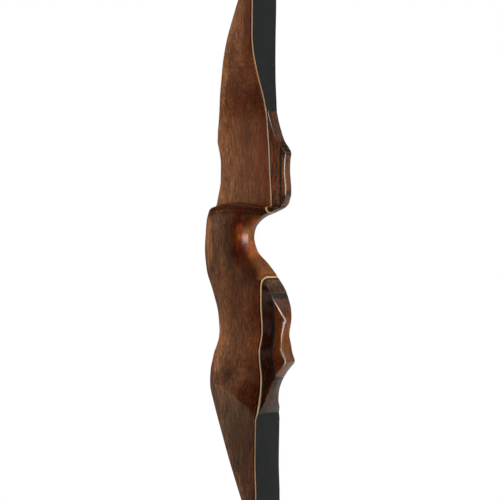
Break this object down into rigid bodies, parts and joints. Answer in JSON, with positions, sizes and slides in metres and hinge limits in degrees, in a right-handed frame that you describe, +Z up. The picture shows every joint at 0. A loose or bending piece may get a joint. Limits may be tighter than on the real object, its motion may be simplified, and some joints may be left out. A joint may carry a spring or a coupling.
{
  "type": "recurve bow",
  "caption": "Right-handed one-piece recurve bow, unstrung, with a carved hardwood riser, centre-shot sight window, arrow shelf and laminated limbs.",
  "frame": {"origin": "deepest point of the grip's throat, on the bow's centre plane, where the web of the hand presses", "axes": "+Z up along the bow, -Y towards the archer (belly side), +Y towards the target (back side), -X the sight window side"},
  "size_m": [0.0446, 0.1489, 1.4184],
  "materials": {
    "riser_wood": "satin lacquered brown hardwood with fine pores",
    "limb_wood": "lacquered brown lamination",
    "overlay_wood": "satin lacquered figured hardwood",
    "overlay_dark_wood": "satin lacquered dark hardwood",
    "pale_wood": "lacquered pale maple-like wood",
    "accent_black": "black fibre strip, lacquered",
    "black_glass": "satin black glass-fibre laminate",
    "clear_glass": "clear glass-fibre laminate over brown wood"
  },
  "bodies": {
    "root": {"riser_block": "riser_wood", "upper_belly_core": "pale_wood", "lower_belly_core": "pale_wood", "upper_belly_glass": "black_glass", "lower_belly_glass": "black_glass", "upper_back_core": "limb_wood", "lower_back_core": "limb_wood", "upper_back_glass": "clear_glass", "lower_back_glass": "clear_glass", "upper_overlay_inner": "overlay_dark_wood", "lower_overlay_inner": "overlay_dark_wood", "upper_overlay_accent": "accent_black", "lower_overlay_accent": "accent_black", "upper_overlay_outer": "overlay_wood", "lower_overlay_outer": "overlay_wood", "upper_tip_wedge": "limb_wood", "lower_tip_wedge": "limb_wood", "upper_tip_black": "accent_black", "lower_tip_black": "accent_black", "upper_tip_pale": "pale_wood", "lower_tip_pale": "pale_wood", "upper_tip_cap": "riser_wood", "lower_tip_cap": "riser_wood"}
  },
  "joints": []
}
